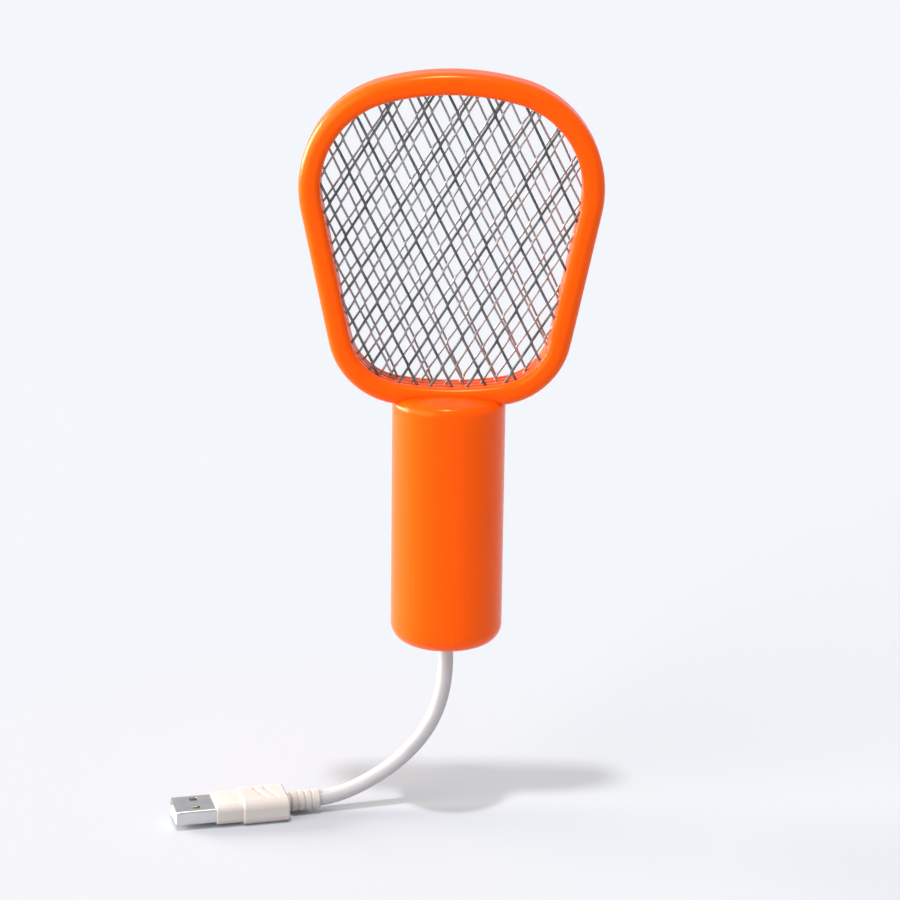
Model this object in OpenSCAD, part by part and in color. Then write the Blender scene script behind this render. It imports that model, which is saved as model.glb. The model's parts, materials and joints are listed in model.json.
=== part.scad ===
// Small corded electric fly swatter: a racket head with three layers of diamond mesh on a round
// handle that holds the high-voltage board, and a short cord that ends in a USB-A plug.
// Origin at the centre of the handle's end face, +Z up to the head, plain front towards -Y.

/* [Handle] */
// Diameter of the handle
handle_d = 33; // [30:0.5:40]
// Height from the end face to the top of the handle's dome
handle_h = 77; // [74:1:110]
// Thickness of the handle's side wall
handle_wall = 2; // [1.6:0.1:2.6]
// Thickness of the handle's end wall
end_wall = 2.5; // [2:0.1:4]
// Radius of the edge round the end face
end_fillet = 5.5; // [2:0.5:6.5]
// Radius of the edge round the top
top_fillet = 3; // [1:0.5:4]
// Rise of the dome above the edge round the top
dome_rise = 1.5; // [0.8:0.1:3]
// Thickness of the floor between the handle's cavity and the head
neck_floor = 2.5; // [2:0.1:4]

/* [Head] */
// Width of the head at its shoulders
head_w = 87; // [80:1:110]
// Height of the head
head_h = 97.4; // [85:0.2:130]
// Depth to which the head is sunk into the handle's dome
head_sink = 5; // [4:0.5:6]
// Width of the head across its two lower corners
base_w = 70.6; // [60:0.2:85]
// Radius of the long arc along the top
top_r = 77; // [60:1:120]
// Radius of the shoulders
shoulder_r = 31.7; // [25:0.1:38]
// Radius of the lower corners
corner_r = 22.8; // [15:0.1:28]
// Radius of the shallow arc along the bottom
base_r = 101; // [80:1:140]
// Width of the ring, seen from the front
ring_w = 6.3; // [5.8:0.1:8]
// Depth of the ring, front to rear
ring_depth = 14; // [13:0.5:18]
// Thickness of the ring's walls
ring_wall = 1.6; // [1.2:0.1:1.8]
// Radius of the ring's outer edges
outer_round = 3.2; // [1:0.1:3.6]
// Radius of the ring's inner edges
inner_round = 2.2; // [1:0.1:2.6]
// Height of the tongue that locates the rear frame on the front one
lap_h = 1; // [0.6:0.1:1.5]
// Width of the neck that carries the head, inside the handle
neck_w = 19; // [17:0.5:20]
// Depth of the neck, front to rear
neck_d = 12; // [11:0.5:13]

/* [Mesh] */
// Thickness of one sheet of mesh
mesh_t = 0.8; // [0.5:0.1:1]
// Distance between one sheet and the next
layer_pitch = 3.2; // [2.4:0.1:4]
// Width of a strand of the front sheet
front_strand_w = 0.85; // [0.5:0.05:1.2]
// Width of a strand of the other two sheets
strand_w = 0.65; // [0.5:0.05:1.2]
// Width of one diamond
cell_w = 10; // [7:0.5:14]
// Height of one diamond
cell_h = 18.5; // [12:0.5:26]
// Width of the flat rim round each sheet
rim_w = 3.2; // [2:0.1:3.4]
// Width of the tab that each sheet is wired by
tab_w = 3; // [2:0.2:4]

/* [Button] */
// Diameter of the push button
button_d = 9; // [7:0.5:10]
// Height of the button's centre above the end face
button_z = 44; // [42:1:46]
// Distance that the button travels
button_travel = 1; // [0.5:0.1:1.4]
// How far the button stands out of the handle
button_proud = 1.4; // [1.2:0.1:2]
// Diameter of the indicator lamp
led_d = 3; // [2:0.5:4]

/* [Board] */
// Width of the circuit board
board_w = 23; // [20:0.5:24]
// Thickness of the circuit board
board_t = 1.6; // [0.8:0.1:2]
// Height of the board's lower edge above the end face
board_z = 14; // [13:0.5:15]
// Gap between the board's upper edge and the top of the cavity
board_gap = 4.5; // [4:0.5:6]
// Diameter of the shell screws' shanks
screw_d = 2.5; // [2:0.1:3]
// Diameter of the shell screws' heads
screw_head_d = 4.8; // [4:0.1:5.2]

/* [Cord and plug] */
// Diameter of the cord
cord_d = 4.5; // [3:0.1:5]
// Angle between the cord's plane and the head's plane
cord_turn = 15; // [0:1:30]
// Width of the plug's metal shell
usb_w = 12; // [11.9:0.1:12.1]
// Height of the plug's metal shell
usb_h = 4.5; // [4.4:0.1:4.6]
// Length of the metal shell outside the moulding
usb_l = 12; // [11.7:0.1:12.4]
// Wall of the metal shell
usb_wall = 0.3; // [0.2:0.05:0.4]
// Length of the plug's grip
grip_l = 14; // [12:0.5:20]
// Width of the plug's grip
grip_w = 14.4; // [13.8:0.2:18]
// Height of the plug's grip
grip_h = 7.4; // [7:0.2:10]
// Length of the plug's narrower nose
nose_l = 8; // [6:0.5:10]
// Length of the strain relief behind the plug
relief_l = 10; // [6:0.5:12]

/* [Hidden] */
$fn = 64;

orange = "#fb6a14";
steel = "#6d7176";
clearance = 0.3;    // between a moving piece and what it passes
seat = 0.1;         // between fixed pieces that fit into each other
over = 1;           // how far a cut runs past the wall that it opens
arc_step = 5;       // most degrees between two points of an outline
chord = 5;          // most distance between two points of an outline

// Handle, seen as a profile turned about its axis
handle_r = handle_d / 2;
cavity_r = handle_r - handle_wall;
side_top = handle_h - dome_rise - top_fillet;
dome_edge = handle_r - top_fillet;
dome_r = (pow(dome_edge, 2) + pow(dome_rise + top_fillet, 2) - pow(top_fillet, 2)) / (2 * dome_rise);

// Head outline: four arcs that run into each other, with straight flanks between the two on each side
head_low = handle_h - head_sink;
head_top = head_low + head_h;
cavity_top = head_low - neck_floor;
shoulder_x = head_w / 2 - shoulder_r;
corner_x = base_w / 2 - corner_r;
top_half = asin(shoulder_x / (top_r - shoulder_r));
base_half = asin(corner_x / (base_r - corner_r));
top_c = [0, head_top - top_r];
base_c = [0, head_low + base_r];
shoulder_c = top_c + (top_r - shoulder_r) * [sin(top_half), cos(top_half)];
corner_c = base_c + (base_r - corner_r) * [sin(base_half), -cos(base_half)];
flank = shoulder_c - corner_c;
flank_turn = atan2(flank.y, flank.x) - acos((corner_r - shoulder_r) / norm(flank));

// Ring section, measured inwards from the outline and forwards from the parting plane
half_depth = ring_depth / 2;
lip = layer_pitch + mesh_t / 2;     // the shells' inner walls end on the outer sheets
lap_w = ring_wall / 2;              // where the tongue's side meets the rebate's
spacer_edge = ring_wall + clearance;
rim_edge = spacer_edge + clearance;
head_mid = (head_low + head_top) / 2;
strand_a = atan(cell_w / cell_h);
tab_x = 5.4;                        // the tabs stand this far to each side of the middle
tab_low = cavity_top - 4;
neck_wall = 1.5;
neck_flange_t = 1.2;

// Inside the handle: the board's rear face lies on the parting plane
board_top = cavity_top - board_gap;
screw_heights = [board_z + 5, board_top - 4];
screw_seat = cavity_r - 5;          // the screw heads bear here, on the rear bosses
screw_head_h = 1.8;
boss_wall = 1.2;
boss_r = screw_head_d / 2 + seat + boss_wall;
boss_neck_r = screw_d / 2 + boss_wall;
screw_end = -8;                     // how deep the screws reach into the front bosses
button_flange_r = button_d / 2 + 1.4;
flange_top = sqrt(pow(cavity_r, 2) - pow(button_flange_r, 2)) - clearance;
flange_t = 1;
switch_w = 8.4;
switch_h = 6.2;
switch_floor = 1.2;
stem_r = 1.5;
stem_collar = 0.9;
collar_t = 0.8;
stem_head = flange_top - flange_t;
stem_low = switch_floor + button_travel;     // leaves room for the travel under the plunger
spring_top = switch_h - 2;
pin_x = 3.2;
pin_z = 2.5;
led_z = screw_heights[1] - 6;

// Cord: [distance from the axis, height] of the points that its centre follows
cord_r = cord_d / 2;
route = [[0, 9], [0, 3], [0, -3], [0, -9], [0.6, -15], [2, -20.8], [4.4, -26.4], [7.8, -31.4],
    [12, -35.8], [16.8, -39.6], [22.2, -42.8], [27.8, -45.4], [33.6, -47.2], [39.4, -48],
    [45.4, -48], [52, -48]];
cord_stop = route[len(route) - 1];  // the cord ends here, inside the plug's grip
plug_z = cord_stop.y;
grip_start = cord_stop.x - 3.2;     // the grip's rear end, as a distance from the handle's axis
nose_start = grip_start + grip_l;
shell_start = nose_start + nose_l;

// ---- shared shapes

function unit(v) = v / norm(v);
function arc(c, r, a0, a1, n) = [for (i = [0 : n]) let (a = a0 + (a1 - a0) * i / n) c + r * [cos(a), sin(a)]];
function steps(r, a) = ceil(a * max(1 / arc_step, r * PI / 180 / chord));

// Right half of the head's outline, moved inwards by u, from the middle of the bottom to the top;
// every offset has the same number of points, because the arcs keep their centres
function half_outline(u) = concat(
    arc(base_c, base_r - u, -90, -90 + base_half, steps(base_r, base_half)),
    arc(corner_c, corner_r - u, -90 + base_half, flank_turn, steps(corner_r, 90 - base_half + flank_turn)),
    arc(shoulder_c, shoulder_r - u, flank_turn, 90 - top_half, steps(shoulder_r, 90 - top_half - flank_turn)),
    arc(top_c, top_r - u, 90 - top_half, 90, steps(top_r, top_half)));
// The joints between two arcs, and the two ends on the axis, are each written once
function whole_outline(u) = let (h = half_outline(u), n = len(h),
    right = [for (i = [0 : n - 1]) if (i == 0 || norm(h[i] - h[i - 1]) > 0.01) h[i]],
    m = len(right)) concat(right, [for (i = [m - 2 : -1 : 1]) [-right[i].x, right[i].y]]);
module head_outline(u) polygon(whole_outline(u));

// A flat shape in the head's plane, given a thickness centred on the depth y
module in_head_plane(y, t) translate([0, y + t / 2, 0]) rotate([90, 0, 0]) linear_extrude(t) children();

// Carries a closed section, listed as [inwards, forwards], round the whole outline
module round_the_head(section) {
    m = len(section);
    n = len(whole_outline(0));
    polyhedron([for (s = section) each [for (p = whole_outline(s.x)) [p.x, -s.y, p.y]]],
        [for (j = [0 : m - 1], i = [0 : n - 1])
            let (k = (i + 1) % n, a = j * n, b = (j + 1) % m * n)
            each [[a + i, b + i, a + k], [a + k, b + i, b + k]]]);
}

// One shell is the mirror image of the other
module to_rear() mirror([0, 1, 0]) children();

// A cylinder that runs rearwards from y0 to y1
module post(x, z, r, y0, y1) translate([x, y0, z]) rotate([-90, 0, 0]) cylinder(r = r, h = y1 - y0);
// A block between two corners
module block(a, b) translate(a) cube(b - a);

// A tube of a given radius along a list of points; across is never parallel to the path
function tangent(p, i) = unit(p[min(i + 1, len(p) - 1)] - p[max(i - 1, 0)]);
function loop(p, i, r, n, across) = let (t = tangent(p, i), a = unit(cross(t, across)), b = cross(t, a))
    [for (k = [0 : n - 1]) p[i] + r * (cos(360 * k / n) * a + sin(360 * k / n) * b)];
module tube(p, r, n, across) {
    last = (len(p) - 1) * n;
    walls = [for (i = [0 : len(p) - 2], k = [0 : n - 1])
        let (a = i * n + k, b = i * n + (k + 1) % n) each [[a, a + n, b], [b, a + n, b + n]]];
    polyhedron([for (i = [0 : len(p) - 1]) each loop(p, i, r, n, across)],
        concat([[for (k = [0 : n - 1]) k]], walls, [[for (k = [n - 1 : -1 : 0]) last + k]]));
}

module rounded_rect(w, h, r) {
    square([w - 2 * r, h], center = true);
    square([w, h - 2 * r], center = true);
    for (x = [-1, 1], y = [-1, 1]) translate([x * (w / 2 - r), y * (h / 2 - r)]) circle(r);
}

// ---- shells

module handle_profile() {
    translate([0, end_fillet]) square([handle_r, side_top - end_fillet]);
    square([handle_r - end_fillet, handle_h / 2]);
    translate([handle_r - end_fillet, end_fillet]) circle(end_fillet);
    translate([dome_edge, side_top]) circle(top_fillet);
    intersection() {
        translate([0, handle_h - dome_r]) circle(dome_r, $fn = 180);
        translate([0, side_top]) square([dome_edge * dome_r / (dome_r - top_fillet), handle_h]);
    }
}

module cavity_profile() {
    inner = max(end_fillet - handle_wall, 0.5);
    translate([0, end_wall + inner]) square([cavity_r, cavity_top - end_wall - inner]);
    translate([0, end_wall]) square([cavity_r - inner, inner + over]);
    translate([cavity_r - inner, end_wall + inner]) circle(inner);
}

// The half of the handle in front of the parting plane, hollow, with the seat for the head
module half_handle() difference() {
    rotate_extrude(angle = 180, start = 180) intersection() {
        handle_profile();
        square([handle_r, handle_h]);
    }
    rotate_extrude() cavity_profile();
    in_head_plane(0, ring_depth + 2 * seat) head_outline(-seat);
    block([-neck_w / 2 - seat, -neck_d / 2 - seat, cavity_top - over],
        [neck_w / 2 + seat, neck_d / 2 + seat, head_low + over]);
    translate([0, 0, -over]) cylinder(r = grommet_neck_r + seat, h = end_wall + 2 * over);
}

// A post that stands on the inside of the handle's wall, from the depth y0 to y1
module wall_post(x, z, r, y0, y1) intersection() {
    post(x, z, r, y0, y1);
    cylinder(r = cavity_r + handle_wall / 2, h = handle_h);
}

module handle_front_shell() color(orange) {
    half_handle();
    for (z = screw_heights) difference() {
        union() {
            wall_post(0, z, boss_r, -handle_r, -board_t);
            post(0, z, boss_neck_r, -board_t - 1, 0);
        }
        post(0, z, screw_d / 2 + 0.05, screw_end - 0.5, over);
    }
    // two posts carry the board behind the button
    for (x = [-1, 1]) wall_post(x * (board_w / 2 - 1.5), button_z + 3, 1.2, -handle_r, -board_t);
}

module handle_rear_shell() color(orange) difference() {
    union() {
        to_rear() half_handle();
        for (z = screw_heights) wall_post(0, z, boss_r, 0, handle_r);
    }
    for (z = screw_heights) {
        post(0, z, screw_d / 2 + seat, -over, handle_r);
        post(0, z, screw_head_d / 2 + seat, screw_seat, handle_r + over);
    }
    post(0, button_z, button_d / 2 + clearance, cavity_r - 3, handle_r + over);
    post(0, led_z, led_d / 2 + seat, cavity_r - 3, handle_r + over);
}

// ---- head frames

// Front of the ring's section, from the parting plane round to the window side and back
function frame_face() = concat([[0, 0]],
    arc([outer_round, half_depth - outer_round], outer_round, 180, 90, 4),
    arc([ring_w - inner_round, half_depth - inner_round], inner_round, 90, 0, 4),
    [[ring_w, lip], [ring_w - ring_wall, lip], [ring_w - ring_wall, half_depth - ring_wall],
     [ring_wall, half_depth - ring_wall]]);
// A tongue on the front frame laps inside the rear one
tongue = [[ring_wall, -lap_h], [lap_w + seat, -lap_h], [lap_w + seat, 0]];
rebate = [[ring_wall, lap_h + seat], [lap_w, lap_h + seat], [lap_w, 0]];

// One half of the ring with its half of the neck, which the handle's floor holds by a flange
module half_frame(edge) {
    outer = [neck_w / 2, neck_d / 2];
    flange = outer + [neck_wall, neck_wall];
    inner = outer - [neck_wall, neck_wall];
    low = cavity_top - seat - neck_flange_t;
    difference() {
        union() {
            round_the_head(concat(frame_face(), edge));
            block([-outer.x, -outer.y, low], [outer.x, 0, head_low + ring_wall / 2]);
            block([-flange.x, -flange.y, low], [flange.x, 0, low + neck_flange_t]);
        }
        block([-inner.x, -inner.y, low - over], [inner.x, over + lap_h, head_low + ring_wall + 0.4]);
    }
}
module head_front_frame() color(orange) half_frame(tongue);
module head_rear_frame() color(orange) to_rear() half_frame(rebate);

module shell_screws() color("silver") for (z = screw_heights) difference() {
    union() {
        post(0, z, screw_d / 2, screw_end, screw_seat + 0.5);
        post(0, z, screw_head_d / 2, screw_seat, screw_seat + screw_head_h);
    }
    for (a = [0, 90]) translate([0, screw_seat + screw_head_h, z]) rotate([0, a, 0])
        cube([screw_head_d * 0.6, 2, 0.6], center = true);
}

// ---- mesh

// Strands of both directions, clipped to the ring
module diamond_net(w, shift, turn) {
    reach = head_w + head_h;
    count = ceil((head_w + head_h * tan(strand_a)) / 2 / cell_w) + 1;
    intersection() {
        head_outline(rim_edge + rim_w / 2);
        translate([shift.x, head_mid + shift.y]) rotate(turn) for (i = [-count : count], s = [-1, 1])
            translate([i * cell_w, 0]) rotate(s * strand_a) square([w, reach], center = true);
    }
}

module mesh_sheet(y, w, shift, turn, tab) in_head_plane(y, mesh_t) {
    difference() {
        head_outline(rim_edge);
        head_outline(rim_edge + rim_w);
    }
    diamond_net(w, shift, turn);
    translate([tab - tab_w / 2, tab_low]) square([tab_w, head_low + rim_edge + rim_w / 2 - tab_low]);
}

module front_mesh() color(steel) mesh_sheet(-layer_pitch, front_strand_w, [0, 0], -3, -tab_x);
module centre_mesh() color(steel) mesh_sheet(0, strand_w, [3.2, -0.3], -2, tab_x);
module rear_mesh() color(steel) mesh_sheet(layer_pitch, strand_w, [-3.2, -2.7], -4.5, -tab_x);

module spacer(y) color("#ff8a3c") in_head_plane(y, layer_pitch - mesh_t) difference() {
    head_outline(spacer_edge);
    head_outline(ring_w);
}
module front_spacer() spacer(-layer_pitch / 2);
module rear_spacer() spacer(layer_pitch / 2);

// ---- wiring between the board and the sheets

lead_r = 0.5;
lead_top = tab_low + 1.2;
module centre_mesh_lead() color("crimson") tube([[board_w / 2 - 2.5, lead_r, board_top - 7],
    [board_w / 2 - 2, lead_r + 0.6, board_top - 4], [tab_x + 1, mesh_t / 2 + lead_r + 0.3, board_top],
    [tab_x, mesh_t / 2 + lead_r, lead_top]], lead_r, 8, [1, 0, 0.2]);
module outer_mesh_leads() color("dimgray") {
    tube([[2.5 - board_w / 2, lead_r, board_top - 7], [1.8 - board_w / 2, 1.4, board_top - 4],
        [-tab_x - 1, layer_pitch - mesh_t / 2 - lead_r - 0.3, board_top],
        [-tab_x, layer_pitch - mesh_t / 2 - lead_r, lead_top]], lead_r, 8, [1, 0, 0.2]);
    tube([[-tab_x - 0.4, lead_r + 0.7 - layer_pitch, lead_top + 1.6],
        [-tab_x + 0.6, -0.6, lead_top + 2.2], [-tab_x + 0.6, 0.6, lead_top + 2.2],
        [-tab_x - 0.4, layer_pitch - 0.7 - lead_r, lead_top + 1.6]], lead_r, 8, [0, 0, 1]);
}

// ---- button and switch

module push_button() color("#2b2b2e") {
    difference() {
        post(0, button_z, button_d / 2, stem_head + 0.5, handle_r + button_proud);
        // shallow dish for the thumb
        translate([0, handle_r + button_proud + 11.4, button_z]) sphere(r = 12);
    }
    post(0, button_z, button_flange_r, stem_head, flange_top);
}

module switch_plunger() color("white") {
    post(0, button_z, stem_r, stem_low, stem_head - 0.05);
    post(0, button_z, stem_r + stem_collar, spring_top, spring_top + collar_t);
}

// Compression spring under the plunger's collar
spring_r = stem_r + stem_collar / 2;
spring_wire = 0.15;
spring_gap = 0.05;
module switch_spring() color("silver") {
    low = switch_floor + spring_gap + spring_wire;
    high = spring_top - spring_gap - spring_wire;
    coil = [for (i = [0 : 48]) let (a = i * 30)
        [spring_r * cos(a), low + (high - low) * i / 48, button_z + spring_r * sin(a)]];
    tube(coil, spring_wire, 6, [0, 1, 0]);
}

module switch_body() color("#33363a") difference() {
    block([-switch_w / 2, 0, button_z - switch_w / 2], [switch_w / 2, switch_h, button_z + switch_w / 2]);
    post(0, button_z, stem_r + stem_collar + seat, switch_floor, switch_h - 1);
    post(0, button_z, stem_r + seat, switch_floor, switch_h + over);
}

module switch_pins() color("gold") for (x = [-pin_x, pin_x], z = [-pin_z, pin_z])
    block([x - 0.3, -board_t - 1.2, button_z + z - 0.2], [x + 0.3, 0, button_z + z + 0.2]);

// ---- board and what is soldered to it

module circuit_board() color("darkgreen") difference() {
    block([-board_w / 2, -board_t, board_z], [board_w / 2, 0, board_top]);
    for (z = screw_heights) post(0, z, boss_neck_r + seat, -board_t - over, over);
    for (x = [-pin_x, pin_x], z = [-pin_z, pin_z]) post(x, button_z + z, 0.5, -board_t - over, over);
}

core_z = board_z + 18;
core_w = 13;
core_t = 5;
core_h = 8.8;
yoke = 2;
leg_w = 3.2;
core_y = -board_t - 1;
module transformer_core() color("#2d2d30") difference() {
    block([-core_w / 2, core_y - core_h, core_z - core_t / 2], [core_w / 2, core_y, core_z + core_t / 2]);
    for (s = [-1, 1]) translate([s * (core_w / 2 - yoke + leg_w / 2) / 2, core_y - core_h / 2, core_z])
        cube([core_w / 2 - yoke - leg_w / 2, core_h - 2 * yoke, core_t + over], center = true);
}

bobbin_wall = 0.5;
flange_w = 8.2;
flange_l = 10.4;
module core_ring(w, l, y0, y1) difference() {
    block([-w / 2, y0, core_z - l / 2], [w / 2, y1, core_z + l / 2]);
    block([-leg_w / 2 - 0.05, y0 - over, core_z - core_t / 2 - 0.05],
        [leg_w / 2 + 0.05, y1 + over, core_z + core_t / 2 + 0.05]);
}
module transformer_bobbin() color("#e9e2cf") {
    high = core_y - yoke - 0.05;
    low = core_y - core_h + yoke + 0.05;
    core_ring(leg_w + 2 * bobbin_wall + 0.1, core_t + 2 * bobbin_wall + 0.1, low, high);
    core_ring(flange_w, flange_l, high - 0.6, high);
    core_ring(flange_w, flange_l, low, low + 0.6);
    for (s = [-1, 1]) block([-flange_w / 2, high - 0.3, min(s * 2.7, s * 5.2) + core_z],
        [flange_w / 2, -board_t, max(s * 2.7, s * 5.2) + core_z]);
}

module transformer_winding() color("#c8662e") {
    high = core_y - yoke - 0.7;
    low = core_y - core_h + yoke + 0.7;
    hole_w = leg_w + 2 * bobbin_wall + 0.2;
    hole_l = core_t + 2 * bobbin_wall + 0.2;
    translate([0, high, core_z]) rotate([90, 0, 0]) linear_extrude(high - low) difference() {
        rounded_rect(flange_w - 0.5, flange_l - 0.5, 1);
        square([hole_w, hole_l], center = true);
    }
}

module transformer_pins() color("silver") for (x = [-3, 0, 3], s = [-1, 1])
    post(x, core_z + s * 4, 0.3, -board_t - 0.8, 1);

film_z = board_top - 15;
module film_capacitor() color("#b5472c") translate([0, -board_t - 0.3, film_z]) rotate([90, 0, 0])
    linear_extrude(8.7) rounded_rect(12, 6, 1);

ceramic_x = 8;
ceramic_z = board_top - 7.5;
module ceramic_capacitors() color("#d9a441") for (x = [-ceramic_x, ceramic_x])
    translate([x, -board_t - 3.6, ceramic_z]) rotate([0, 90, 0]) cylinder(r = 2.8, h = 2, center = true);

// Axial parts lie along the board: diodes on its front, resistors on its rear
axial_l = 5;
diode_r = 1.35;
diode_y = -board_t - diode_r - 0.25;
diode_places = [for (x = [-9.2, 9.2], z = [15, 24]) [x, board_z + z]];
module rectifier_diodes() color("#26262a") for (p = diode_places)
    translate([p.x, diode_y, p.y]) cylinder(r = diode_r, h = axial_l, center = true);

resistor_r = 1.1;
resistor_y = resistor_r + 0.3;
resistor_places = [for (p = [[-8.5, 10], [-8.5, 20], [8.5, 10]]) [p.x, board_z + p.y]];
module resistors() color("#d8c9a0") for (p = resistor_places)
    translate([p.x, resistor_y, p.y]) cylinder(r = resistor_r, h = axial_l, center = true);

transistor_at = [6.5, board_z + 9];
module transistor() color("#222226") translate([transistor_at.x, -board_t - 2, transistor_at.y])
    rotate([90, 0, 0]) linear_extrude(4.6) intersection() {
        circle(2.3);
        translate([-3, -1.3]) square([6, 4]);
    }

// Every bent or straight wire end of the parts above, where it goes into the board
module axial_leads(p, y) {
    end = axial_l / 2;
    bend = end + 1.3;
    wire = [[y, end], [y, end + 0.9], [y * 0.75 - board_t / 8, bend], [-board_t / 2, bend]];
    for (s = [-1, 1]) tube([for (w = wire) [p.x, w.x, p.y + s * w.y]], 0.3, 6, [1, 0, 0]);
}
module component_leads() color("silver") {
    solder = 0.8;    // how far a wire stands out behind the board
    for (p = diode_places) axial_leads(p, diode_y);
    for (p = resistor_places) axial_leads(p, resistor_y);
    for (x = [-1.27, 0, 1.27]) post(transistor_at.x + x, transistor_at.y, 0.25, -board_t - 2, solder);
    for (x = [-5, 5]) post(x, film_z, 0.3, -board_t - 0.3, solder);
    for (x = [-ceramic_x, ceramic_x], z = [-1.5, 1.5]) post(x, ceramic_z + z, 0.25, -board_t - 1.5, solder);
}

led_low = 9.5;
led_top = handle_r - 0.9;
module indicator_lamp() color("red") {
    post(0, led_z, led_d / 2, led_low, led_top);
    post(0, led_z, led_d / 2 + 0.4, led_low, led_low + 1);
    translate([0, led_top, led_z]) sphere(r = led_d / 2);
}
module lamp_leads() color("silver") for (x = [-0.9, 0.9]) post(x, led_z, 0.25, 0, led_low);

// ---- cord and plug

// From [along the cord's plane, height] to the space that the swatter stands in
function laid(p) = [-p.x * cos(cord_turn), -p.x * sin(cord_turn), p.y];
cord_bore = cord_r + 0.05;
grommet_neck_r = cord_r + 1.65;
grommet_flange_r = grommet_neck_r + 1.4;
grommet_out = 2.5;

module cord_grommet() color("#f3f0ea") rotate_extrude() difference() {
    polygon([[0, -grommet_out], [cord_r + 0.9, -grommet_out], [grommet_neck_r - 0.3, -0.4],
        [grommet_neck_r, 0], [grommet_neck_r, end_wall + seat], [grommet_flange_r, end_wall + seat],
        [grommet_flange_r, end_wall + 1.3], [0, end_wall + 1.3]]);
    translate([0, -grommet_out - over]) square([cord_bore, grommet_out + end_wall + 3 * over]);
}

// Tie that stops the cord from being pulled out
clamp_z = end_wall + 2;
module cord_clamp() color("white") difference() {
    union() {
        translate([0, 0, clamp_z]) cylinder(r = cord_r + 1.2, h = 2.6);
        block([-1.8, -cord_r - 3, clamp_z], [1.8, 0, clamp_z + 2.6]);
    }
    translate([0, 0, clamp_z - over]) cylinder(r = cord_bore, h = 5);
}

cord_end = route[0].y;
module power_leads() for (s = [-1, 1]) color(s < 0 ? "crimson" : "black")
    tube([[s * 0.9, 0, cord_end], [s * 1.1, 0.3, cord_end + 1.5], [s * 2.6, 1.1, cord_end + 4],
        [s * 4.5, 0.9, board_z + 2], [s * 5, lead_r + 0.1, board_z + 4]], lead_r, 8, [0, 1, 0.3]);

module cord() color("#f2f2f2") tube([for (i = [0 : len(route) - 1])
    if (i % 2 == 0 || i == len(route) - 1) laid(route[i])], cord_r, 12,
    [-sin(cord_turn), cos(cord_turn), 0]);

// Local z runs along the plug from its rear, x is down and y is across
module on_plug(along) translate([0, 0, plug_z]) rotate([0, 0, 180 + cord_turn]) rotate([0, 90, 0])
    translate([0, 0, along]) children();

relief_slots = [3, 5, 7];
module plug_relief() color("#efe9dc") on_plug(grip_start) rotate([180, 0, 0]) difference() {
    cylinder(r1 = grip_h / 2 - 0.6, r2 = cord_r + 0.7, h = relief_l);
    translate([0, 0, -over]) cylinder(r = cord_bore, h = relief_l + 2 * over);
    for (z = relief_slots, side = [-1, 1]) translate([0, side * 3.6, z * relief_l / 10])
        cube([3, 2, 0.7], center = true);
}

shell_in = 6;    // how deep the metal shell sits in the moulding
module plug_moulding() color("#f1ece0") difference() {
    union() {
        on_plug(grip_start) linear_extrude(grip_l) rounded_rect(grip_h, grip_w, 2.4);
        on_plug(nose_start) linear_extrude(nose_l) rounded_rect(grip_h - 1.4, grip_w - 1.2, 1.8);
    }
    on_plug(grip_start - over) cylinder(r = cord_bore, h = cord_stop.x - grip_start + over + seat);
    on_plug(shell_start - shell_in) translate([-usb_h / 2, -usb_w / 2, 0])
        cube([usb_h, usb_w, shell_in + over]);
    // two slanting finger grooves on each broad face
    for (face = [-1, 1], k = [0, 1]) on_plug(grip_start + 5 + 3 * k)
        translate([face * grip_h / 2, 0, 0]) rotate([face * 20, 0, 0])
            cube([0.8, grip_w - 7, 1], center = true);
}

module usb_tube(w, h, l) difference() {
    translate([-h / 2, -w / 2, 0]) cube([h, w, l]);
    translate([-h / 2 + usb_wall, -w / 2 + usb_wall, -over])
        cube([h - 2 * usb_wall, w - 2 * usb_wall, l + 2 * over]);
}
// Two latch windows in each broad wall
module plug_shell() color("silver") on_plug(shell_start - shell_in) difference() {
    usb_tube(usb_w, usb_h, usb_l + shell_in);
    for (side = [-1, 1]) translate([0, side * 2.9, shell_in + usb_l - 6.5])
        cube([usb_h + over, 2.5, 2.3], center = true);
}

tongue_t = 1.9;
tongue_x = usb_h / 2 - usb_wall;     // the tongue lies against the lower broad wall
insulator_low = 2;
module plug_insulator() color("white") on_plug(shell_start - shell_in + insulator_low) {
    translate([tongue_x - tongue_t, -usb_w / 2 + usb_wall, 0])
        cube([tongue_t, usb_w - 2 * usb_wall, usb_l + shell_in - insulator_low - 0.4]);
    translate([-tongue_x, -usb_w / 2 + usb_wall, 0])
        cube([2 * tongue_x, usb_w - 2 * usb_wall, shell_in - insulator_low]);
}

// The two outer contacts reach nearer to the front than the two inner ones
contact_t = 0.25;
module plug_contacts() color("gold") for (i = [0 : 3]) on_plug(shell_start + 0.05)
    translate([tongue_x - tongue_t - contact_t, (i - 1.5) * 2.3 - 0.5, 0])
    cube([contact_t, 1, usb_l - (i == 0 || i == 3 ? 3 : 4)]);

handle_front_shell();
handle_rear_shell();
shell_screws();
head_front_frame();
head_rear_frame();
front_mesh();
centre_mesh();
rear_mesh();
front_spacer();
rear_spacer();
centre_mesh_lead();
outer_mesh_leads();
push_button();
switch_plunger();
switch_spring();
switch_body();
switch_pins();
circuit_board();
transformer_core();
transformer_bobbin();
transformer_winding();
transformer_pins();
film_capacitor();
ceramic_capacitors();
rectifier_diodes();
resistors();
transistor();
component_leads();
indicator_lamp();
lamp_leads();
cord_grommet();
cord_clamp();
power_leads();
cord();
plug_relief();
plug_moulding();
plug_shell();
plug_insulator();
plug_contacts();
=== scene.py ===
# Small corded electric fly swatter: orange ring head with three sheets of diamond mesh, round handle,
# push button and lamp on the rear, short white cord with a USB-A plug. Metres, +Z up, plain front to -Y.
import json
import math
import bmesh
import bpy
import numpy as np
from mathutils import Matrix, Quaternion, Vector


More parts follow.
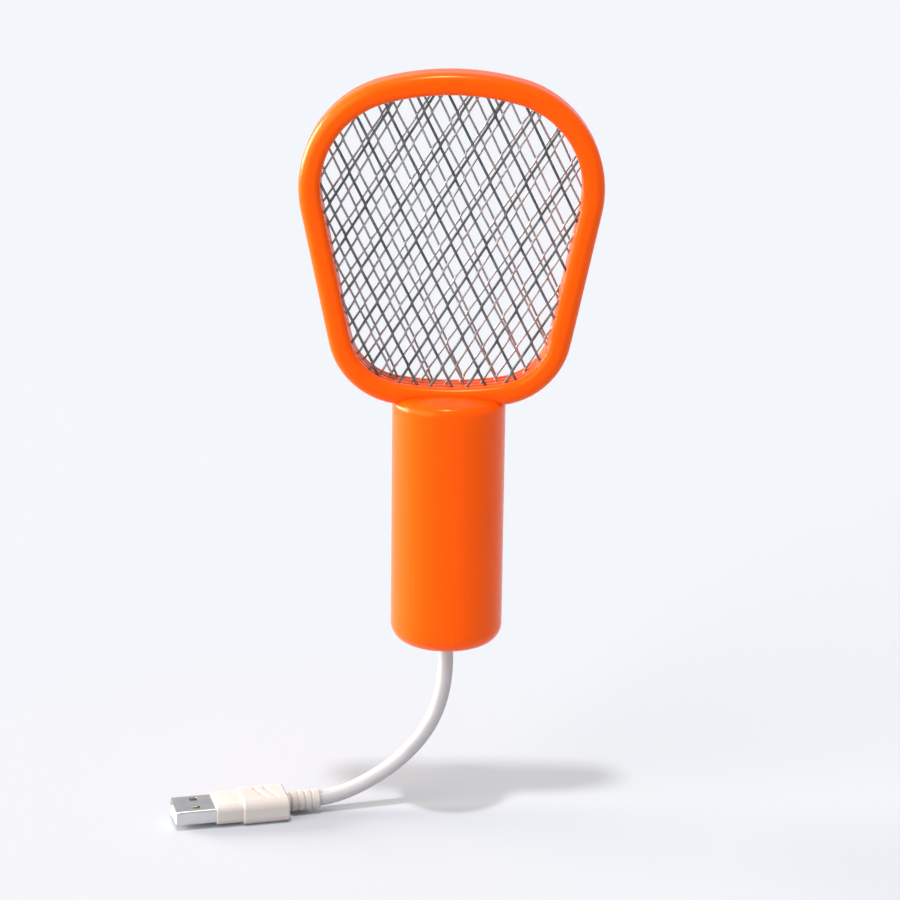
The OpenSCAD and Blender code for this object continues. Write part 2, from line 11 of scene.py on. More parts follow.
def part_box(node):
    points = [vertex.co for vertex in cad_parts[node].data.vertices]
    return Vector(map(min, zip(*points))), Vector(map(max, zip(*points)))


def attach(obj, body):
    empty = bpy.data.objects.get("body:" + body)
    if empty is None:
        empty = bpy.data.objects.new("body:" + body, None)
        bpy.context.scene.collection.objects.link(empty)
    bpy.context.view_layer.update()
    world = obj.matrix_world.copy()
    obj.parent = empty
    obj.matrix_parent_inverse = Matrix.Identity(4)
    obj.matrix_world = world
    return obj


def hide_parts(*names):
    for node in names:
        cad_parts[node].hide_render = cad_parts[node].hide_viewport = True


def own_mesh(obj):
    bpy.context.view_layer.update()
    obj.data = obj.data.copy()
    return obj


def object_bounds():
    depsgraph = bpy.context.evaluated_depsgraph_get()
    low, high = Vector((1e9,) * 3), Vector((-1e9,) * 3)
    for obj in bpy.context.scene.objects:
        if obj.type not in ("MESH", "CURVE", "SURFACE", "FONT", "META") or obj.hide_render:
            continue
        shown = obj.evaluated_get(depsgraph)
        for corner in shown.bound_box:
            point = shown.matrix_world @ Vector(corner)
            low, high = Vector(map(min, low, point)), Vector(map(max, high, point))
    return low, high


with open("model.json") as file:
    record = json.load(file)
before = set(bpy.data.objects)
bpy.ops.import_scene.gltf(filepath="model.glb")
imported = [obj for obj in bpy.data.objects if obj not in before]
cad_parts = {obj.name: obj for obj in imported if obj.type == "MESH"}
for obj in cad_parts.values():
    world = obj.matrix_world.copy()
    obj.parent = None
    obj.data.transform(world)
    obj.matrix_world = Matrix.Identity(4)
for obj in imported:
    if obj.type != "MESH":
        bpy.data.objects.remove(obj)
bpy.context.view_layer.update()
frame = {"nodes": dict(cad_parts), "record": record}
mm = 0.001
print("frame loaded:", len(frame["nodes"]), "nodes")


# ---- small tools for surfaces

smoothAngle = 32  # degrees: edges that turn more than this stay sharp


# A closed or open corner list [(x, y, radius), ...] with each corner turned into an arc:
# the arc's centre lies on the corner's bisector, radius / sin(half angle) from the corner
def roundedProfile(corners, closed=True, steps=6):
    corners = np.array(corners, float)
    points = corners[:, :2]
    out = []
    for i, radius in enumerate(corners[:, 2]):
        if radius == 0 or (not closed and i in (0, len(corners) - 1)):
            out.append(points[i:i + 1])
            continue
        back = points[i - 1] - points[i]
        ahead = points[(i + 1) % len(points)] - points[i]
        back, ahead = back / np.linalg.norm(back), ahead / np.linalg.norm(ahead)
        half = math.acos(np.clip(back @ ahead, -1, 1)) / 2
        bisector = (back + ahead) / np.linalg.norm(back + ahead)
        centre = points[i] + bisector * radius / math.sin(half)
        first = (points[i] + back * radius / math.tan(half) - centre) / radius
        last = (points[i] + ahead * radius / math.tan(half) - centre) / radius
        turn = math.pi - 2 * half
        part = np.linspace(0, 1, steps + 1)[:, None]
        mixed = np.sin((1 - part) * turn) * first + np.sin(part * turn) * last
        out.append(centre + radius * mixed / math.sin(turn))
    return np.vstack(out)


# Quads between neighbours of a grid of points; a closed direction joins its last row to its first,
# and a cap is one face over a whole end row
def surface(points, closedAlong=False, closedAcross=False, capStart=False, capEnd=False):
    rows, columns = points.shape[:2]
    index = np.arange(rows * columns).reshape(rows, columns)
    along = np.vstack([index, index[:1]]) if closedAlong else index
    grid = np.hstack([along, along[:, :1]]) if closedAcross else along
    quads = np.stack([grid[:-1, :-1], grid[:-1, 1:], grid[1:, 1:], grid[1:, :-1]], -1).reshape(-1, 4)
    faces = quads.tolist()
    if capStart:
        faces.append(index[0][::-1].tolist())
    if capEnd:
        faces.append(index[-1].tolist())
    return points.reshape(-1, 3), faces


# One object from several surfaces: doubles merged, faces turned outwards, smooth up to an angle,
# with the finish that belongs to its slot
def makePiece(name, surfaces, slot, body="root", replaces=(), attributes=None):
    mesh = bpy.data.meshes.new(name)
    vertices, faces, start = [], [], 0
    for points, quads in surfaces:
        vertices.append(points)
        faces += [[start + k for k in quad] for quad in quads]
        start += len(points)
    mesh.from_pydata(np.vstack(vertices).tolist(), [], faces)
    for key, values in (attributes or {}).items():
        mesh.attributes.new(key, "FLOAT", "POINT").data.foreach_set("value", np.asarray(values, "f").ravel())
    shape = bmesh.new()
    shape.from_mesh(mesh)
    bmesh.ops.remove_doubles(shape, verts=shape.verts, dist=1e-7)
    bmesh.ops.recalc_face_normals(shape, faces=shape.faces)
    shape.to_mesh(mesh)
    shape.free()
    mesh.polygons.foreach_set("use_smooth", np.ones(len(mesh.polygons), bool))
    mesh.set_sharp_from_angle(angle=math.radians(smoothAngle))
    mesh.materials.append(finishes[slot])
    piece = bpy.data.objects.new(name, mesh)
    bpy.context.scene.collection.objects.link(piece)
    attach(piece, body)
    if replaces:
        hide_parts(*replaces)
    return piece


# Two unit vectors across a path at each of its points: the first is ahead x up,
# and the second is the first x ahead
def pathFrames(path, up):
    ahead = np.gradient(path, axis=0)
    ahead /= np.linalg.norm(ahead, axis=1, keepdims=True)
    side = np.cross(ahead, up)
    side /= np.linalg.norm(side, axis=1, keepdims=True)
    return side, np.cross(side, ahead)


# A section (two columns: sideways, upwards) carried along a path
def sweep(path, section, up, **ends):
    side, rise = pathFrames(path, np.asarray(up, float))
    points = path[:, None] + section[None, :, :1] * side[:, None] + section[None, :, 1:] * rise[:, None]
    return surface(points, closedAcross=True, **ends)


# A profile (distance from the axis, height along it) turned about an axis: at each angle a, a point lies
# distance * (cos a * side + sin a * other) + height * axis from the centre
def turned(profile, centre, axis, steps=64):
    axis = np.array(axis, float)
    side = np.cross(axis, [0.31, 0.27, 0.91])  # any direction that is not the axis
    side /= np.linalg.norm(side)
    other = np.cross(axis, side)
    angle = np.linspace(0, 2 * math.pi, steps, endpoint=False)[None, :, None]
    around = np.cos(angle) * side + np.sin(angle) * other
    points = np.array(centre) + profile[:, :1, None] * around + profile[:, 1:, None] * axis
    return surface(points, closedAcross=True)


# Points of a rounded rectangle, the same number for any size, so that sections can be lofted;
# between two corners a straight side is filled at the given parts of its length
def roundedRect(width, height, radius, steps=8, fill=()):
    x, y = width / 2, height / 2
    square = [(x, -y, radius), (x, y, radius), (-x, y, radius), (-x, -y, radius)]
    corners = roundedProfile(square, steps=steps).reshape(4, -1, 2)
    part = np.array(fill).reshape(1, -1, 1)
    start, end = corners[:, -1:], np.roll(corners[:, :1], -1, axis=0)
    return np.concatenate([corners, start + part * (end - start)], axis=1).reshape(-1, 2)


# ---- shader maths

# One output socket; an expression on wires adds its Math nodes
class Wire:
    def __init__(self, finish, socket):
        self.finish = finish
        self.socket = socket

    def maths(self, operation, first, second):
        return self.finish.node("ShaderNodeMath", {"operation": operation}, {0: first, 1: second})

    def __add__(self, other):
        return self.maths("ADD", self, other)

    def __radd__(self, other):
        return self.maths("ADD", other, self)

    def __sub__(self, other):
        return self.maths("SUBTRACT", self, other)

    def __rsub__(self, other):
        return self.maths("SUBTRACT", other, self)

    def __mul__(self, other):
        return self.maths("MULTIPLY", self, other)

    def __rmul__(self, other):
        return self.maths("MULTIPLY", other, self)

    def __gt__(self, other):
        return self.maths("GREATER_THAN", self, other)


# A material: fixed values go on the shader's own sockets, and nodes are added by type
class Finish:
    def __init__(self, name, **fixed):
        self.material = bpy.data.materials.new(name)
        self.material.use_nodes = True
        self.tree = self.material.node_tree
        self.shader = self.tree.nodes["Principled BSDF"]
        self.feed(self.shader, {key.replace("_", " "): value for key, value in fixed.items()})
        self.place = self.node("ShaderNodeTexCoord", output="Object")

    def feed(self, node, values):
        for key, value in values.items():
            if isinstance(value, Wire):
                self.tree.links.new(value.socket, node.inputs[key])
            else:
                node.inputs[key].default_value = value

    def node(self, kind, settings=None, values=None, output=0):
        made = self.tree.nodes.new(kind)
        for key, value in (settings or {}).items():
            setattr(made, key, value)
        self.feed(made, values or {})
        return Wire(self, made.outputs[output])

    def noise(self, scale, detail, stretch=None):
        place = self.place
        if stretch:
            place = self.node("ShaderNodeMapping", values={"Vector": place, "Scale": stretch})
        return self.node("ShaderNodeTexNoise", values={"Vector": place, "Scale": scale, "Detail": detail})

    def blend(self, factor, first, second):
        values = {"Factor": factor, 6: first, 7: second}
        return self.node("ShaderNodeMix", {"data_type": "RGBA"}, values, output=2)

    def bump(self, height, distance, strength):
        values = {"Height": height, "Distance": distance, "Strength": strength}
        return self.node("ShaderNodeBump", values=values)

    def wire(self, **links):
        self.feed(self.shader, {key.replace("_", " "): value for key, value in links.items()})
        return self.material


# ---- finishes

def whole(red, green, blue):
    return (red, green, blue, 1.0)


# Glossy moulded ABS: faint flow marks in the colour, a fine grain in the gloss, hairline scuffs
def orangePlastic(name="orangePlastic"):
    finish = Finish(name, IOR=1.46, Specular_IOR_Level=0.3, Specular_Tint=whole(1, 0.7, 0.2),
                    Subsurface_Weight=0.1, Subsurface_Radius=(0.004, 0.0012, 0.0003), Subsurface_Scale=0.6)
    flow = finish.noise(26, 2.0, stretch=(1, 1, 0.35))
    grain = finish.noise(900, 2.0)
    scuff = finish.noise(240, 4.0, stretch=(1, 1, 0.06)) > 0.66
    return finish.wire(Base_Color=finish.blend(flow, whole(0.9, 0.08, 0.001), whole(0.95, 0.095, 0.0015)),
                       Roughness=0.2 + flow * 0.06 + grain * 0.05 + scuff * 0.06,
                       Normal=finish.bump(grain + flow * 2, 0.00001, 0.35))


# Steel strands: dark rolled skin, brighter where it is rubbed, fine drawing lines
def meshSteel(name, dark, bright):
    finish = Finish(name, Metallic=1.0, IOR=2.0)
    patch = finish.noise(190, 4.0)
    lines = finish.noise(5200, 1.0, stretch=(1, 1, 0.12))
    worn = (patch - 0.42) * 2.4
    return finish.wire(Base_Color=finish.blend(worn, dark, bright),
                       Roughness=0.44 - patch * 0.14 + lines * 0.1,
                       Normal=finish.bump(lines, 0.00001, 0.5))


# Soft PVC jacket: slightly waxy, a little dusty, with a shallow ripple from the twisted cores inside
def cordJacket(name="cordJacket", layLength=0.009):
    finish = Finish(name, IOR=1.47, Subsurface_Weight=0.2, Subsurface_Radius=(0.003, 0.0028, 0.0025),
                    Subsurface_Scale=0.5, Sheen_Weight=0.05)
    along = finish.node("ShaderNodeAttribute", {"attribute_name": "along"}, output="Fac")
    around = finish.node("ShaderNodeAttribute", {"attribute_name": "around"}, output="Fac")
    phase = along * (2 * math.pi / layLength) + around * (4 * math.pi)
    twist = finish.node("ShaderNodeMath", {"operation": "SINE"}, {0: phase})
    dust = finish.noise(130, 5.0)
    grain = finish.noise(3200, 2.0)
    return finish.wire(Base_Color=finish.blend(dust, whole(0.43, 0.415, 0.43), whole(0.5, 0.485, 0.5)),
                       Roughness=0.36 + dust * 0.16 + grain * 0.05,
                       Normal=finish.bump(twist * 0.5 + grain * 0.12 + dust * 0.4, 0.00006, 0.6))


# Satin moulding, eggshell grain from a sparked mould
def satinPlastic(name, first, second, grain=2600, rough=0.42, depth=0.00002, gloss=0.0):
    finish = Finish(name, IOR=1.48, Coat_Weight=gloss, Coat_Roughness=0.2)
    cloud = finish.noise(150, 3.0)
    fine = finish.noise(grain, 2.0)
    return finish.wire(Base_Color=finish.blend(cloud, first, second),
                       Roughness=rough + cloud * 0.08 + fine * 0.06,
                       Normal=finish.bump(fine + cloud * 0.4, depth, 0.7))


# Rolled and plated sheet: fine lines along the plug, light rubbing marks across them
def platedSteel(name, first, second, rough=0.22, stretch=(1, 1, 12)):
    finish = Finish(name, Metallic=1.0, IOR=2.2)
    lines = finish.noise(900, 3.0, stretch=stretch)
    rubbed = finish.noise(320, 4.0)
    return finish.wire(Base_Color=finish.blend(rubbed, first, second),
                       Roughness=rough + lines * 0.12 + rubbed * 0.1,
                       Normal=finish.bump(lines, 0.000006, 0.6))


# Tinted epoxy lens
def lampLens(name="lampLens"):
    finish = Finish(name, IOR=1.52, Transmission_Weight=0.35, Coat_Weight=0.6, Coat_Roughness=0.04)
    cloud = finish.noise(420, 2.0)
    return finish.wire(Base_Color=finish.blend(cloud, whole(0.62, 0.012, 0.01), whole(0.78, 0.035, 0.02)),
                       Roughness=0.06 + cloud * 0.08)


# Solder mask with tracks that show through as slightly lighter bands
def solderMask(name="solderMask"):
    finish = Finish(name, IOR=1.5, Coat_Weight=0.4, Coat_Roughness=0.1)
    tracks = finish.node("ShaderNodeTexVoronoi", {"feature": "DISTANCE_TO_EDGE"},
                         {"Vector": finish.place, "Scale": 210})
    track = 1 - tracks * 9
    fine = finish.noise(1500, 2.0)
    return finish.wire(Base_Color=finish.blend(track, whole(0.012, 0.09, 0.035), whole(0.03, 0.19, 0.07)),
                       Roughness=0.3 + fine * 0.12,
                       Normal=finish.bump(track, 0.00003, 0.5))


# Enamelled copper wire, wound in rows
def windingCopper(name="windingCopper"):
    finish = Finish(name, Metallic=1.0, IOR=1.8, Coat_Weight=0.5, Coat_Roughness=0.1)
    rows = finish.node("ShaderNodeTexWave", {"bands_direction": "Y"},
                       {"Vector": finish.place, "Scale": 1400, "Distortion": 0.6, "Detail": 1.0})
    return finish.wire(Base_Color=finish.blend(rows, whole(0.33, 0.09, 0.03), whole(0.8, 0.34, 0.14)),
                       Roughness=0.28 + rows * 0.1,
                       Normal=finish.bump(rows, 0.00004, 0.9))


finishes = {
    "orange_shell": orangePlastic(),
    "screw_steel": platedSteel("screwZinc", whole(0.56, 0.56, 0.57), whole(0.72, 0.71, 0.69), rough=0.26),
    "front_mesh_steel": meshSteel("frontMeshSteel", whole(0.1, 0.11, 0.115), whole(0.3, 0.31, 0.32)),
    "inner_mesh_steel": meshSteel("innerMeshSteel", whole(0.3, 0.305, 0.315), whole(0.55, 0.56, 0.57)),
    "lead_red": satinPlastic("leadRed", whole(0.46, 0.02, 0.02), whole(0.6, 0.05, 0.04), rough=0.35),
    "lead_black": satinPlastic("leadBlack", whole(0.018, 0.018, 0.02), whole(0.045, 0.045, 0.05),
                               rough=0.35),
    "button_black": satinPlastic("buttonBlack", whole(0.02, 0.02, 0.022), whole(0.042, 0.042, 0.046),
                                 grain=3800, rough=0.4, depth=0.00004),
    "switch_white": satinPlastic("switchWhite", whole(0.72, 0.72, 0.7), whole(0.82, 0.82, 0.8)),
    "switch_black": satinPlastic("switchBlack", whole(0.02, 0.022, 0.025), whole(0.04, 0.042, 0.045)),
    "tinned_wire": platedSteel("tinnedWire", whole(0.6, 0.6, 0.58), whole(0.76, 0.76, 0.74), rough=0.3),
    "board_green": solderMask(),
    "ferrite": satinPlastic("ferrite", whole(0.03, 0.03, 0.034), whole(0.07, 0.07, 0.075),
                            grain=1200, rough=0.6),
    "bobbin_cream": satinPlastic("bobbinCream", whole(0.7, 0.62, 0.44), whole(0.8, 0.73, 0.56)),
    "copper_winding": windingCopper(),
    "capacitor_red": satinPlastic("capacitorRed", whole(0.36, 0.05, 0.025), whole(0.5, 0.09, 0.04),
                                  rough=0.2, gloss=0.4),
    "ceramic_ochre": satinPlastic("ceramicOchre", whole(0.52, 0.29, 0.04), whole(0.66, 0.4, 0.08),
                                  rough=0.25, gloss=0.3),
    "resistor_tan": satinPlastic("resistorTan", whole(0.55, 0.43, 0.26), whole(0.68, 0.56, 0.38),
                                 rough=0.25, gloss=0.3),
    "lamp_red": lampLens(),
    "cord_white": cordJacket(),
    "plug_cream": satinPlastic("plugCream", whole(0.5, 0.45, 0.42), whole(0.57, 0.525, 0.5),
                               grain=1900, rough=0.4, depth=0.00003),
    "usb_steel": platedSteel("usbNickel", whole(0.55, 0.55, 0.56), whole(0.72, 0.72, 0.73)),
    "usb_insulator": satinPlastic("usbInsulator", whole(0.8, 0.8, 0.8), whole(0.88, 0.88, 0.88)),
    "contact_gold": platedSteel("contactGold", whole(0.8, 0.55, 0.18), whole(0.9, 0.68, 0.3), rough=0.18)}

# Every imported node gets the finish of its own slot
for subpart in frame["record"]["subparts"]:
    mesh = frame["nodes"][subpart["node"]].data
    mesh.materials.clear()
    mesh.materials.append(finishes[subpart["material_slot"]])
print("finishes made:", len(finishes))


# ---- camera

cameraView = dict(distance=0.8, pitch=16, roll=0.75, lens=109.4, aim=(0.0005, 0, 0.0583))


def makeCamera(view):
    pitch = math.radians(view["pitch"])
    back = Vector((0, -math.cos(pitch), math.sin(pitch)))
    data = bpy.data.cameras.new("camera")
    data.lens = view["lens"]
    data.clip_end = 50
    camera = bpy.data.objects.new("camera", data)
    camera.location = Vector(view["aim"]) + back * view["distance"]
    camera.rotation_mode = "QUATERNION"
    roll = Quaternion((0, 0, 1), math.radians(view["roll"]))
    camera.rotation_quaternion = (-back).to_track_quat("-Z", "Y") @ roll
    bpy.context.scene.collection.objects.link(camera)
    bpy.context.scene.camera = camera


makeCamera(cameraView)
print("camera placed")


# ---- cord and plug

# The route is [distance from the axis, height] in millimetres, as in the part
cordLook = dict(diameter=4.5, turn=15, length=0.089, sides=28, rings=8,
                route=[(0, 9), (0, 3), (0, -3), (0, -9), (0.6, -15), (2, -20.8), (4.4, -26.4), (7.8, -31.4),
                       (12, -35.8), (16.8, -39.6), (22.2, -42.8), (27.8, -45.4), (33.6, -47.2), (39.4, -48),
                       (45.4, -48), (52, -48)])
plugTurn = math.radians(cordLook["turn"])
plugWay = np.array([-math.cos(plugTurn), -math.sin(plugTurn), 0])
plugSide = np.array([plugWay[1], -plugWay[0], 0])
upwards = np.array([0, 0, 1.0])


# Catmull-Rom: between two points p1 and p2, with p0 before and p3 after, at part t
# (2 p1 + (p2 - p0) t + (2 p0 - 5 p1 + 4 p2 - p3) t^2 + (3 p1 - p0 - 3 p2 + p3) t^3) / 2
def smoothPath(points, steps):
    p = np.vstack([2 * points[0] - points[1], points, 2 * points[-1] - points[-2]])
    t = np.linspace(0, 1, steps, endpoint=False)[None, :, None]
    p0, p1, p2, p3 = (p[i:len(p) - 3 + i][:, None] for i in range(4))
    bend = (2 * p0 - 5 * p1 + 4 * p2 - p3) * t**2 + (3 * p1 - p0 - 3 * p2 + p3) * t**3
    curve = (2 * p1 + (p2 - p0) * t + bend) / 2
    return np.vstack([curve.reshape(-1, points.shape[1]), points[-1:]])


# Tapered collar with a rounded lip round the cord, and the flange that the shells hold
def makeGrommet(bore=2.3, neck=3.9, flange=5.3, out=2.5, wall=2.6, flangeDepth=1.2):
    back = wall + flangeDepth
    corners = [(bore, -out, 0.25), (bore + 0.85, -out, 0.35), (neck - 0.3, -0.4, 0.2), (neck, 0, 0.1),
               (neck, wall, 0.1), (flange, wall, 0.2), (flange, back, 0.2), (bore, back, 0.2)]
    profile = roundedProfile(corners, steps=5)
    collar = turned(np.vstack([profile, profile[:1]]) * mm, (0, 0, 0), (0, 0, 1), steps=72)
    return makePiece("cordGrommet", [collar], "cord_white", replaces=["cord_grommet"])


# Grooves on the grip are at these places along it; those round the relief are (place, width, depth)
plugLook = dict(grip=14, gripWidth=14.4, gripHeight=7.4, gripRound=2.4, nose=8, noseWidth=13.2, noseHeight=6,
                noseRound=1.8, edge=0.7, cordIn=3.2, shellWidth=12, shellHeight=4.5, shellIn=6,
                grooves=(4.6, 7.8), grooveWidth=0.45, grooveDepth=0.5, grooveSlant=20, grooveReach=3.7,
                grooveFade=0.12, relief=10,
                reliefGrooves=[(0.75, 0.6, 0.7), (3.4, 0.3, 0.35), (5.5, 0.3, 0.35), (7.6, 0.3, 0.35)])
gripStart = cordLook["route"][-1][0] - plugLook["cordIn"]
plugHeight = cordLook["route"][-1][1]


# A point [along the plug from its rear, sideways, up] in space
def onPlug(along, side, up):
    return ((gripStart + along)[..., None] * plugWay + side[..., None] * plugSide
            + (plugHeight + up)[..., None] * upwards) * mm


# A rounded end: as the angle a goes from 0 to 90 degrees, the section is inset by edge * (1 - sin a)
# at edge * (1 - cos a) from the end
def roundedEnd(end, towards, width, height, radius, edge):
    a = np.linspace(0, math.pi / 2, 7)
    inset = edge * (1 - np.sin(a))
    return np.column_stack([end + towards * edge * (1 - np.cos(a)), width - 2 * inset, height - 2 * inset,
                            np.maximum(radius - inset, 0.2)])


# Rounded rectangles stacked along the plug as rows of (along, width, height, corner radius), from the
# cord's bore round the grip and the nose to the shell's pocket; a blind end is a row too small to see.
# Where the broad faces are, the surface sinks by grooveDepth * exp(-(distance to a slanting line /
# grooveWidth)^4), and the groove fades out at grooveReach
def makeMoulding(look):
    grip, edge, front = look["grip"], look["edge"], look["grip"] + look["nose"]
    gripSize = look["gripWidth"], look["gripHeight"], look["gripRound"]
    noseSize = look["noseWidth"], look["noseHeight"], look["noseRound"]
    bore, cordIn, shellEnd = cordLook["diameter"] + 0.1, look["cordIn"], front - look["shellIn"]
    pocket = look["shellWidth"] + 0.02, look["shellHeight"] + 0.02, 0.5
    blind = 1e-5, 1e-5, 4e-6
    body = np.linspace(edge, grip - edge, 90)[1:-1, None]
    rows = np.vstack([
        [(cordIn, *blind), (cordIn, bore, bore, bore / 2.01), (0, bore, bore, bore / 2.01)],
        roundedEnd(0, 1, *gripSize, edge),
        np.hstack([body, np.tile(gripSize, (len(body), 1))]),
        roundedEnd(grip, -1, *gripSize, edge)[::-1],
        [(grip, *noseSize)],
        roundedEnd(front, -1, *noseSize, edge * 0.7)[::-1],
        [(front, *pocket), (shellEnd, *pocket), (shellEnd, *blind)]])
    fill = np.linspace(0, 1, 42)[1:-1]
    outline = np.stack([roundedRect(width, height, radius, 8, fill) for _, width, height, radius in rows])
    side, up = outline[..., 0], outline[..., 1]
    along = np.broadcast_to(rows[:, :1], side.shape)
    slant = math.radians(look["grooveSlant"])
    fade = 1 / (1 + np.exp((np.abs(side) - look["grooveReach"]) / look["grooveFade"]))
    broad = np.abs(up) > look["gripHeight"] / 2 - 0.01
    for middle in look["grooves"]:
        away = (along - middle - np.sign(up) * side * math.tan(slant)) * math.cos(slant)
        sunk = look["grooveDepth"] * np.exp(-(away / look["grooveWidth"])**4)
        up = up - np.sign(up) * broad * fade * sunk
    skin = surface(onPlug(along, side, up), closedAcross=True)
    return makePiece("plugMoulding", [skin], "plug_cream", replaces=["plug_moulding"])


# Tapered sleeve with a deep neck right behind the grip and three grooves round it: the radius is
# start - slope z - the sum of depth * exp(-((z - groove) / width)^4), and the far end is rounded off
def makeRelief(look, bore=2.3, start=3.1, end=2.95, endRound=0.35):
    z = np.linspace(0, look["relief"], 140)
    r = start + (end - start) * z / look["relief"]
    for groove, width, depth in look["reliefGrooves"]:
        r -= depth * np.exp(-((z - groove) / width)**4)
    r[-6:] -= endRound * (1 - np.sqrt(1 - np.linspace(0, 1, 6)**2))
    profile = np.vstack([[(bore, 0)], np.column_stack([r, z]), [(bore, look["relief"])], [(bore, 0)]])
    sleeve = turned(profile * mm, onPlug(*np.zeros((3, 1)))[0], -plugWay, steps=72)
    return makePiece("plugRelief", [sleeve], "plug_cream", replaces=["plug_relief"])


# Rolled sheet round a rounded rectangle, with two latch windows in each broad face and a turned-in front
# lip; the grid's rows and columns fall on the windows' edges, and Solidify gives the sheet its thickness
def makeShell(look, wall=0.3, corner=0.75, edge=0.05, window=(1.65, 4.15), windowAlong=(4.35, 6.65)):
    width, height, inside = look["shellWidth"], look["shellHeight"], look["shellIn"]
    flat = width / 2 - corner
    places = np.array([-window[1], -2.9, -window[0], 0, window[0], 2.9, window[1]])
    section = roundedRect(width, height, corner, 6, (places + flat) / (2 * flat))
    along = np.array([-inside, 0, 2.2, windowAlong[0], 5.5, windowAlong[1], 9, 11.2, 11.6, 11.85, 12.0])
    lip = np.array([0, 0, 0, 0, 0, 0, 0, 0, 0.04, 0.11, 0.2])
    side = section[None, :, 0] * (1 - lip[:, None] / (width / 2))
    up = section[None, :, 1] * (1 - lip[:, None] / (height / 2))
    place = np.broadcast_to((look["grip"] + look["nose"] + along)[:, None], side.shape)
    points, faces = surface(onPlug(place, side, up), closedAcross=True)
    row = np.arange(len(faces)) // len(section)
    column = np.arange(len(faces)) % len(section)
    middle = (section[column] + section[(column + 1) % len(section)]) / 2
    level = (along[row] + along[row + 1]) / 2
    hole = ((np.abs(middle[:, 1]) > height / 2 - 0.01) & (np.abs(middle[:, 0]) > window[0])
            & (np.abs(middle[:, 0]) < window[1]) & (level > windowAlong[0]) & (level < windowAlong[1]))
    kept = [face for face, cut in zip(faces, hole) if not cut]
    shell = makePiece("plugShell", [(points, kept)], "usb_steel", replaces=["plug_shell"])
    solid = shell.modifiers.new("sheet", "SOLIDIFY")
    solid.thickness = wall * mm
    solid.offset = -1
    edges = shell.modifiers.new("edges", "BEVEL")
    edges.width = edge * mm
    edges.segments = 2
    edges.angle_limit = math.radians(50)
    return shell


def makeCord(look, plugPieces):
    route = np.array(look["route"]) * mm
    laid = route[:, :1] * plugWay + route[:, 1:] * upwards
    path = smoothPath(laid, look["rings"])
    angle = np.linspace(0, 2 * math.pi, look["sides"], endpoint=False)
    section = np.column_stack([np.cos(angle), np.sin(angle)]) * look["diameter"] / 2 * mm
    along = np.concatenate([[0], np.cumsum(np.linalg.norm(np.diff(path, axis=0), axis=1))])
    flags = dict(along=np.repeat(along, look["sides"]), around=np.tile(angle / (2 * math.pi), len(path)))
    tube = sweep(path, section, plugSide, capStart=True, capEnd=True)
    cord = makePiece("cordJacket", [tube], "cord_white", replaces=["cord"], attributes=flags)
    print("cord: %.1f mm" % (along[-1] / mm))


makeCord(cordLook, [makeGrommet(), makeRelief(plugLook), makeMoulding(plugLook), makeShell(plugLook),
                    "plug_insulator", "plug_contacts"])


# ---- head

# Sizes in millimetres; the outline is four arcs on each side, with a straight flank between two of them
headLook = dict(width=87, height=97.4, baseWidth=70.6, topRadius=77, shoulderRadius=31.7, cornerRadius=22.8,
                baseRadius=101, ringWidth=6.3, ringDepth=14, wall=1.6, outerRound=3.2, innerRound=2.2,
                lip=3.6, lap=1.0, lapGap=0.1, partingRound=0.3, edgeRound=0.25, deepRound=0.5,
                neckWidth=19, neckDepth=12, neckWall=1.5, flange=1.5, flangeHeight=1.2)
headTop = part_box("head_front_frame")[1].z / mm
headLow = headTop - headLook["height"]


# Each point of the closed outline as an arc's centre, its radius and an angle, so that moving inwards by u
# only takes u off the radius; a flank runs from one arc's centre and radius to the next at one angle
def headArcs(look, step=2.0):
    shoulderX = look["width"] / 2 - look["shoulderRadius"]
    cornerX = look["baseWidth"] / 2 - look["cornerRadius"]
    topReach = look["topRadius"] - look["shoulderRadius"]
    baseReach = look["baseRadius"] - look["cornerRadius"]
    topHalf = math.asin(shoulderX / topReach)
    baseHalf = math.asin(cornerX / baseReach)
    topAt = np.array([0, headTop - look["topRadius"]])
    baseAt = np.array([0, headLow + look["baseRadius"]])
    shoulderAt = topAt + topReach * np.array([math.sin(topHalf), math.cos(topHalf)])
    cornerAt = baseAt + baseReach * np.array([math.sin(baseHalf), -math.cos(baseHalf)])
    flank = shoulderAt - cornerAt
    turn = math.atan2(flank[1], flank[0]) - math.acos(
        (look["cornerRadius"] - look["shoulderRadius"]) / np.linalg.norm(flank))
    quarter = math.pi / 2
    runs = [(baseAt, look["baseRadius"], -quarter, baseHalf - quarter),
            (cornerAt, look["cornerRadius"], baseHalf - quarter, turn),
            (shoulderAt, look["shoulderRadius"], turn, quarter - topHalf),
            (topAt, look["topRadius"], quarter - topHalf, quarter)]
    centres, radii, angles = [], [], []
    for centre, radius, start, end in runs:
        count = max(6, int(radius * (end - start) / step))
        angles.append(np.linspace(start, end, count, endpoint=False))
        centres.append(np.tile(centre, (count, 1)))
        radii.append(np.full(count, radius))
    along = np.linspace(0, 1, int(np.linalg.norm(flank) / step))[1:-1, None]
    centres.insert(2, cornerAt + along * flank)
    radii.insert(2, look["cornerRadius"] + along[:, 0] * (look["shoulderRadius"] - look["cornerRadius"]))
    angles.insert(2, np.full(len(along), turn))
    centre, radius, angle = np.vstack(centres), np.concatenate(radii), np.concatenate(angles)
    mirror = slice(len(angle) - 1, 0, -1)
    centre = np.vstack([centre, [topAt], centre[mirror] * [-1, 1]])
    radius = np.concatenate([radius, [look["topRadius"]], radius[mirror]])
    return centre, radius, np.concatenate([angle, [quarter], math.pi - angle[mirror]])


arcs = headArcs(headLook)


def headOutline(inset):
    centre, radius, angle = arcs
    return centre + (radius - inset)[:, None] * np.column_stack([np.cos(angle), np.sin(angle)])


